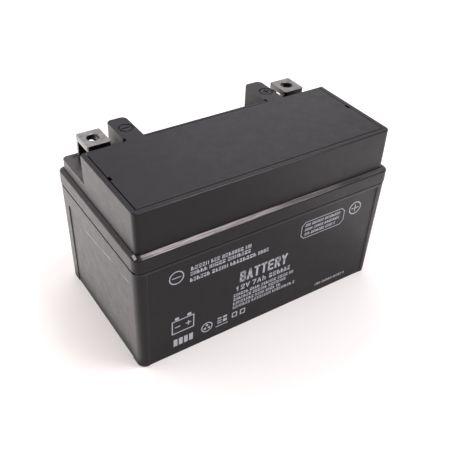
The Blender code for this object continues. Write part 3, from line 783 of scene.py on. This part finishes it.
def make_terminal(side, name, finish):
    """A cast lead bracket: bolt plate, rear leg and the foot that is set in resin."""
    low, high = TERMINAL_BOX[side]
    widen = 0.2 * MM
    thick = TERMINAL_PLATE
    leg = 2.8 * MM
    foot_y = 23.6 * MM
    foot_top = low.z + 2.4 * MM
    outer = 1.1 * MM  # radius of the bend's outside
    outline = [(foot_y, low.z), (high.y, low.z)]
    outline += arc((high.y - outer, high.z - outer), outer, 0, 90, 6)
    outline += [(low.y, high.z), (low.y, high.z - thick)]
    inner = 0.8 * MM
    outline += arc((high.y - leg - inner, high.z - thick - inner), inner, 90, 0, 4)
    outline += [(high.y - leg, foot_top), (foot_y, foot_top)]
    body = bmesh.new()
    add_outline_along_x(body, outline, low.x - widen, high.x + widen)
    terminal = make_piece(name, body, finish)
    plan = bmesh.new()
    turned = rounded_rectangle((high.x - low.x) / 2 + widen, (high.y - low.y) / 2, 1.3 * MM)
    centre_x, centre_y = (low.x + high.x) / 2, (low.y + high.y) / 2
    turned = [(x + centre_x, y + centre_y) for x, y in turned]
    add_loft(plan, [(turned, low.z - MM), (turned, high.z + MM)])
    combine(terminal, plan, "INTERSECT")

    radius = 3.2 * MM
    middle = (low.x + high.x) / 2
    hole_y = 29.6 * MM
    hole_z = 84.0 * MM
    lead_in = 0.35 * MM
    top_profile = [(0, -2 * thick), (radius, -2 * thick), (radius, -lead_in),
                   (radius + lead_in, 0), (radius + lead_in + BEYOND, BEYOND), (0, BEYOND)]
    holes = bmesh.new()
    add_turned(holes, top_profile, centre=(middle, hole_y, high.z))
    add_turned(holes, top_profile, centre=(middle, high.y, hole_z),
               turn=Matrix.Rotation(-pi / 2, 3, "X"))
    post_low, post_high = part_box("negative_post" if side < 0 else "positive_post")
    bore = (post_high.x - post_low.x) / 2 + GAP
    post_y = (post_low.y + post_high.y) / 2
    add_turned(holes, [(0, low.z - MM), (bore, low.z - MM), (bore, foot_top + MM),
                       (0, foot_top + MM)], centre=(middle, post_y, 0))
    combine(terminal, holes)
    soften(terminal, 0.45 * MM, segments=4)
    node = "negative_terminal" if side < 0 else "positive_terminal"
    stand_for(terminal, node)
    return terminal


# Print on the front wall

INK = 0.04 * MM


def front_matrix():
    """Takes (x, height up the panel, thickness) to the front panel's sloping floor."""
    foot = CONTAINER_HIGH.y - DRAFT - PANEL_DEPTH
    up = Vector((0, -DRAFT, CONTAINER_HIGH.z)).normalized()
    out = Vector((1, 0, 0)).cross(up)
    columns = Matrix((Vector((1, 0, 0)), up, out)).transposed()
    return Matrix.Translation((0, -foot, 0)) @ columns.to_4x4()


def add_flat(mesh, outline):
    """Add a patch of ink with this outline in the print's plane."""
    add_loft(mesh, [(outline, 0.01 * MM), (outline, 0.01 * MM + INK)])


def add_bar(mesh, x, z, width, height, slant=0.0):
    lean = slant * height
    add_flat(mesh, [(x, z), (x + width, z), (x + width + lean, z + height), (x + lean, z + height)])


def add_glyph(mesh, kind, x, z, width, height, stroke, slant):
    """One abstract block that reads as small print but is no letter."""
    def bar(left, bottom, wide, tall):
        add_bar(mesh, x + left + slant * bottom, z + bottom, wide, tall, slant)
    if kind == 0:
        bar(0, 0, width, stroke)
        bar(0, height - stroke, width, stroke)
        bar(0, (height - stroke) / 2, width, stroke * 0.8)
    elif kind == 1:
        bar(0, 0, stroke, height)
        bar(width - stroke, 0, stroke, height)
    elif kind == 2:
        bar(0, 0, width, height * 0.45)
        bar(0, height * 0.7, width, height * 0.3)
    else:
        bar(0, 0, width * 0.55, height)
        bar(width * 0.75, 0, width * 0.25, height * 0.6)


def add_small_print(mesh, draw, x0, x1, z, height, slant=0.0):
    """A line of abstract blocks in word-sized groups from x0 to x1."""
    x = x0
    left_in_word = draw.randint(3, 8)
    while x < x1 - 0.5 * height:
        width = height * draw.uniform(0.5, 0.75)
        add_glyph(mesh, draw.randrange(4), x, z, width, height, 0.2 * height, slant)
        x += width + 0.2 * height
        left_in_word -= 1
        if left_in_word == 0:
            x += 0.4 * height
            left_in_word = draw.randint(3, 8)


LETTERS = {  # strokes on a unit square, the pen's middle line
    "1": [[(0.2, 0.72), (0.55, 1), (0.55, 0)]],
    "2": [[(0, 0.72), (0.15, 1), (0.85, 1), (1, 0.8), (1, 0.62), (0, 0), (1, 0)]],
    "7": [[(0, 1), (1, 1), (0.4, 0)]],
    "A": [[(0, 0), (0.5, 1), (1, 0)], [(0.2, 0.3), (0.8, 0.3)]],
    "B": [[(0, 0.52), (0.8, 0.52), (1, 0.36), (1, 0.16), (0.8, 0), (0, 0), (0, 1), (0.75, 1),
           (0.93, 0.86), (0.93, 0.68), (0.8, 0.52)]],
    "E": [[(1, 1), (0, 1), (0, 0), (1, 0)], [(0, 0.52), (0.85, 0.52)]],
    "R": [[(0, 0), (0, 1), (0.8, 1), (1, 0.85), (1, 0.63), (0.8, 0.48), (0, 0.48)],
          [(0.5, 0.48), (1, 0)]],
    "T": [[(0, 1), (1, 1)], [(0.5, 1), (0.5, 0)]],
    "V": [[(0, 1), (0.5, 0), (1, 1)]],
    "Y": [[(0, 1), (0.5, 0.5), (1, 1)], [(0.5, 0.5), (0.5, 0)]],
    "h": [[(0.1, 1), (0.1, 0)], [(0.1, 0.6), (0.75, 0.6), (0.9, 0.45), (0.9, 0)]],
}


def add_stroke(mesh, points, pen):
    """A line of ink with square ends along points."""
    for start, end in zip(points, points[1:]):
        a, b = Vector(start), Vector(end)
        along = (b - a).normalized() * pen / 2
        across = Vector((-along.y, along.x))
        add_flat(mesh, [tuple(a - along - across), tuple(b + along - across),
                        tuple(b + along + across), tuple(a - along + across)])


def add_word(mesh, text, x0, x1, z, height, pen, gap):
    """Set a plain word from x0 to x1; gap is the space between letters in letter widths."""
    spaces = text.count(" ")
    letters = len(text) - spaces
    width = (x1 - x0) / (letters + gap * (letters - 1) + 0.4 * spaces)
    x = x0
    for letter in text:
        if letter == " ":
            x += 0.4 * width
            continue
        for stroke in LETTERS[letter]:
            add_stroke(mesh, [(x + pen / 2 + u * (width - pen), z + pen / 2 + v * (height - pen))
                              for u, v in stroke], pen)
        x += (1 + gap) * width


def add_outline_frame(mesh, outline, stroke):
    """A closed line of ink along an outline, drawn inwards by its stroke."""
    count = len(outline)
    middle = Vector((sum(p[0] for p in outline) / count, sum(p[1] for p in outline) / count))
    inner = []
    for i, point in enumerate(outline):
        before = Vector(outline[i - 1])
        here = Vector(point)
        after = Vector(outline[(i + 1) % count])
        a = (here - before).normalized()
        b = (after - here).normalized()
        normal_a = Vector((-a.y, a.x))
        normal_b = Vector((-b.y, b.x))
        bisector = (normal_a + normal_b).normalized()
        if bisector.dot(middle - here) < 0:
            bisector.negate()
        inner.append(here + bisector * stroke / max(0.3, abs(bisector.dot(normal_a))))
    low = 0.01 * MM
    rings = []
    for points, z in ((outline, low), (outline, low + INK), (inner, low + INK), (inner, low)):
        rings.append([mesh.verts.new((p[0], p[1], z)) for p in points])
    faces = []
    for first, second in zip(rings, rings[1:] + rings[:1]):
        for i in range(count):
            j = (i + 1) % count
            faces.append(mesh.faces.new((first[i], first[j], second[j], second[i])))
    bmesh.ops.recalc_face_normals(mesh, faces=faces)


def make_print(finish):
    draw = random.Random(7)
    ink = bmesh.new()
    for x, plus in ((-53.7 * MM, False), (55.2 * MM, True)):
        add_ring_sign(ink, (x, 52.1 * MM), plus, 4.0 * MM, 0.55 * MM, 0.45 * MM,
                      0.01 * MM, 0.01 * MM + INK)
    for x0, x1, z in ((-46.0, -10.5, 53.0), (-46.2, -12.0, 49.8), (-46.4, -1.0, 45.9)):
        add_small_print(ink, draw, x0 * MM, x1 * MM, z * MM, 2.3 * MM)
    add_word(ink, "BATTERY", -17.3 * MM, 12.2 * MM, 31.9 * MM, 7.0 * MM, 1.2 * MM, 0.2)
    add_word(ink, "12V 7Ah", -19.5 * MM, -0.6 * MM, 26.5 * MM, 3.4 * MM, 0.65 * MM, 0.25)
    add_small_print(ink, draw, 1.4 * MM, 14.8 * MM, 26.6 * MM, 2.9 * MM)
    for x1, z in ((17.7, 22.9), (14.3, 20.1), (10.6, 17.2), (20.6, 14.4)):
        add_small_print(ink, draw, -20.4 * MM, x1 * MM, z * MM, 1.9 * MM)
    add_small_print(ink, draw, 35.4 * MM, 57.4 * MM, 4.7 * MM, 1.6 * MM)

    cut_corner = 2.2 * MM
    x0, x1, z0, z1 = 19.3 * MM, 47.9 * MM, 44.7 * MM, 55.4 * MM
    box = [(x0 + cut_corner, z0), (x1 - cut_corner, z0), (x1, z0 + cut_corner),
           (x1, z1 - cut_corner), (x1 - cut_corner, z1), (x0 + cut_corner, z1),
           (x0, z1 - cut_corner), (x0, z0 + cut_corner)]
    add_outline_frame(ink, box, 0.35 * MM)
    for x_end, z in ((45.5, 52.2), (44.0, 49.3), (42.0, 46.4)):
        add_small_print(ink, draw, 21.6 * MM, x_end * MM, z * MM, 1.6 * MM, slant=0.25)

    add_pictograms(ink, draw)
    bmesh.ops.transform(ink, matrix=front_matrix(), verts=ink.verts)
    piece = make_piece("front_print", ink, finish)
    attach(piece, CASE)
    return piece


def add_pictograms(ink, draw):
    """Plain line drawings and blocks in the lower left corner of the front."""
    stroke = 0.6 * MM
    add_outline_frame(ink, rectangle(-56.4 * MM, -43.6 * MM, 14.6 * MM, 23.6 * MM), stroke)
    for x in (-54.6, -47.6):
        add_bar(ink, x * MM, 24.0 * MM, 2.2 * MM, 1.6 * MM)
    add_bar(ink, -54.6 * MM, 18.7 * MM, 3.0 * MM, stroke)
    add_bar(ink, -48.4 * MM, 18.7 * MM, 3.0 * MM, stroke)
    add_bar(ink, -47.2 * MM, 17.5 * MM, stroke, 3.0 * MM)
    for i in range(4):
        add_bar(ink, (-55.4 + 3.0 * i) * MM, 5.6 * MM, 2.2 * MM, 4.8 * MM)
    ring = [(-35.9 * MM, 9.6 * MM), 3.4 * MM]
    add_turned(ink, [(ring[1] - stroke, 0.01 * MM), (ring[1], 0.01 * MM), (ring[1], 0.01 * MM + INK),
                     (ring[1] - stroke, 0.01 * MM + INK)], centre=(*ring[0], 0))
    for i in range(3):
        angle = pi / 2 + tau * i / 3
        add_turned(ink, [(0, 0.01 * MM), (0.75 * MM, 0.01 * MM), (0.75 * MM, 0.01 * MM + INK),
                         (0, 0.01 * MM + INK)], steps=24,
                   centre=(ring[0][0] + 1.4 * MM * cos(angle), ring[0][1] + 1.4 * MM * sin(angle), 0))
    add_bar(ink, -30.5 * MM, 6.4 * MM, 7.6 * MM, 0.5 * MM)
    add_small_print(ink, draw, -29.6 * MM, -23.6 * MM, 8.4 * MM, 4.2 * MM)
    add_outline_frame(ink, rectangle(-20.6 * MM, -17.4 * MM, 8.2 * MM, 11.8 * MM), stroke)
    add_outline_frame(ink, rectangle(-15.6 * MM, -12.4 * MM, 8.2 * MM, 11.8 * MM), stroke)


# Pieces that keep their CAD shape

def dress_cad_nodes(finishes):
    """Give every CAD node that still shows its own material."""
    for name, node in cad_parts.items():
        if "_resin" in name:
            finish = finishes[name]
        elif "cap" in name or "seal" in name:
            finish = finishes["rubber"]
        elif "negative_group" in name:
            finish = finishes["negative"]
        elif "positive_group" in name:
            finish = finishes["positive"]
        elif "separator" in name:
            finish = finishes["mat"]
        else:
            finish = finishes["lead"]
        node.data.materials.clear()
        node.data.materials.append(finish)


# Camera, floor and lights

def make_camera():
    """A 56 mm lens at the front left, looking down on the battery."""
    azimuth = radians(34.49)
    elevation = radians(37.78)
    roll = radians(2.68)
    distance = 381.4 * MM
    target = Vector((2.0 * MM, 1.1 * MM, 31.8 * MM))
    back = Vector((-sin(azimuth) * cos(elevation), -cos(azimuth) * cos(elevation), sin(elevation)))
    right = (-back).cross(Vector((0, 0, 1))).normalized()
    up = right.cross(-back)
    turned_right = cos(roll) * right + sin(roll) * up
    turned_up = -sin(roll) * right + cos(roll) * up
    data = bpy.data.cameras.new("camera")
    data.sensor_width = 36
    data.lens = 54.79
    camera = bpy.data.objects.new("camera", data)
    camera.matrix_world = Matrix.Translation(target + back * distance) @ Matrix(
        (turned_right, turned_up, back)).transposed().to_4x4()
    bpy.context.scene.collection.objects.link(camera)
    bpy.context.scene.camera = camera


def make_floor(finish):
    half = 4.0
    sheet = bmesh.new()
    bmesh.ops.create_grid(sheet, x_segments=1, y_segments=1, size=half)
    floor = make_piece("floor", sheet, finish)


def make_light(name, place, aim, size, watts, color):
    data = bpy.data.lights.new(name, "AREA")
    data.shape = "RECTANGLE"
    data.size, data.size_y = size
    data.energy = watts
    data.color = color
    light = bpy.data.objects.new(name, data)
    light.location = place
    light.rotation_euler = (Vector(place) - Vector(aim)).to_track_quat("Z", "Y").to_euler()
    bpy.context.scene.collection.objects.link(light)


def make_bounce(name, low, high, watts, color):
    """A card of light that lies on the floor and shines up, unseen by the camera."""
    middle = ((low[0] + high[0]) / 2, (low[1] + high[1]) / 2)
    make_light(name, (*middle, MM), (*middle, 1.0), (high[0] - low[0], high[1] - low[1]),
               watts, color)
    bpy.data.objects[name].visible_camera = False


def make_world(strength, color):
    world = bpy.data.worlds.new("world")
    world.use_nodes = True
    background = world.node_tree.nodes["Background"]
    background.inputs["Color"].default_value = (*color, 1)
    background.inputs["Strength"].default_value = strength
    bpy.context.scene.world = world


make_camera()
plastic = case_material()
lead = lead_material("cast_lead", (0.245, 0.236, 0.228))
dress_cad_nodes({
    "negative_resin": resin_material("black_resin", (0.008, 0.008, 0.009), (0.02, 0.02, 0.022)),
    "positive_resin": resin_material("red_resin", (0.10, 0.012, 0.010), (0.17, 0.022, 0.017)),
    "rubber": rubber_material(),
    "negative": paste_material("negative_paste", (0.25, 0.26, 0.28), (0.36, 0.37, 0.39)),
    "positive": paste_material("positive_paste", (0.09, 0.045, 0.03), (0.15, 0.08, 0.05)),
    "mat": mat_material(),
    "lead": lead,
})
make_container(plastic)
make_lid(plastic)
make_top_plate(plastic)
make_terminal(-1, "cast_negative_terminal", lead)
# A darker copy of the lead for the right terminal, with lighter painted shade on its other faces.
make_terminal(1, "cast_positive_terminal",
              lead_material("cast_lead_darker", (0.150, 0.144, 0.138), painted_shade=0.45))
make_print(ink_material())

make_floor(floor_material())
WHITE = (1.0, 0.957, 1.005)
WARM = (1.0, 0.94, 0.935)
AIM = (0, 0, 0.05)  # the battery's middle
make_world(0.946, WHITE)
make_bounce("left_bounce", (-0.55, -0.045), (-0.0765, 0.50), 1.25, WARM)
make_bounce("right_bounce", (0.09, -0.50), (0.60, -0.04), 0.86, WHITE)
make_light("left_key", (-0.45, 0.38, 0.11), AIM, (0.5, 0.2), 3.06, WARM)
make_light("overhead", (0.20, -0.20, 0.80), AIM, (0.25, 0.25), 2.9, WHITE)
make_light("rear_top", (-0.05, 0.45, 0.75), AIM, (0.5, 0.3), 1.06, WHITE)
make_light("rear_right", (0.45, 0.55, 0.55), AIM, (0.4, 0.4), 0.74, WHITE)
bpy.context.scene.view_settings.view_transform = "Standard"

bpy.context.view_layer.update()
